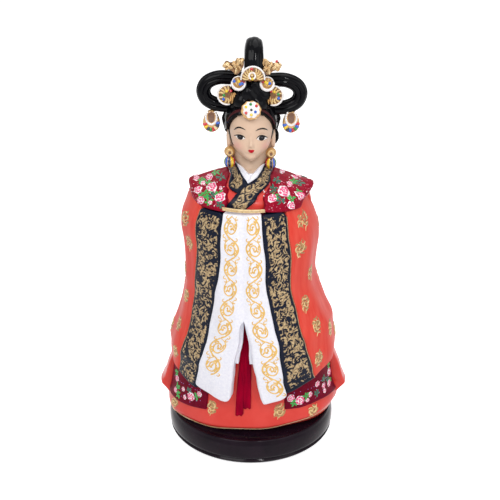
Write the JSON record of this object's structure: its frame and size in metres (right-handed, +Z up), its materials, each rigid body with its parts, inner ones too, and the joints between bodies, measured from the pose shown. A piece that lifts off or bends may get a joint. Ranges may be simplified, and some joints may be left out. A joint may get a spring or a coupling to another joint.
{
  "type": "hanbok doll",
  "caption": "Standing bride doll in traditional court dress with looped hair and ornaments, cast and painted, on a round lacquered base.",
  "frame": {"origin": "middle of the underside of the round base", "axes": "+Z up, the doll faces -Y, +X to the right of a viewer who faces the doll"},
  "size_m": [0.0938, 0.084, 0.1987],
  "materials": {
    "felt_sole": "needled felt",
    "black_lacquer": "gloss black lacquer",
    "screw_steel": "zinc plated",
    "coral_paint": "painted cast resin, satin varnish",
    "crimson_paint": "painted cast resin, satin varnish",
    "navy_paint": "painted cast resin with gold brocade",
    "white_paint": "painted cast resin",
    "gold_paint": "gold painted cast resin",
    "skin_paint": "painted cast resin, matt",
    "hair_gloss": "gloss black paint",
    "ribbon_paint": "dark red paint"
  },
  "bodies": {
    "root": {"base_felt": "felt_sole", "base_plinth": "black_lacquer", "base_screw_left": "screw_steel", "base_screw_right": "screw_steel", "skirt": "coral_paint", "robe_body": "coral_paint", "robe_back": "coral_paint", "hem_band_left": "crimson_paint", "hem_band_right": "crimson_paint", "sash_tail_left": "crimson_paint", "sash_tail_right": "crimson_paint", "sleeve_left": "coral_paint", "sleeve_right": "coral_paint", "sleeve_band_left": "navy_paint", "sleeve_band_right": "navy_paint", "hansam_left": "white_paint", "hansam_right": "white_paint", "hansam_roll": "gold_paint", "shoulder_panel_left": "crimson_paint", "shoulder_panel_right": "crimson_paint", "collar_left": "navy_paint", "collar_right": "navy_paint", "inner_collar": "white_paint", "head": "skin_paint", "hair_cap": "hair_gloss", "hair_knot": "hair_gloss", "hair_bun": "hair_gloss", "hair_loop_left": "hair_gloss", "hair_loop_right": "hair_gloss", "hair_loop_top": "hair_gloss", "hair_ribbon_left": "ribbon_paint", "hair_ribbon_right": "ribbon_paint", "forehead_rosette": "white_paint", "fan_top": "gold_paint", "crescent_left": "white_paint", "crescent_right": "white_paint", "side_fan_left": "gold_paint", "side_fan_right": "gold_paint", "butterfly_left": "gold_paint", "butterfly_right": "gold_paint", "loop_pendant_left": "gold_paint", "loop_pendant_right": "gold_paint", "earring_ring_left": "gold_paint", "earring_ring_right": "gold_paint", "earring_bead_left": "gold_paint", "earring_bead_right": "gold_paint"}
  },
  "joints": []
}
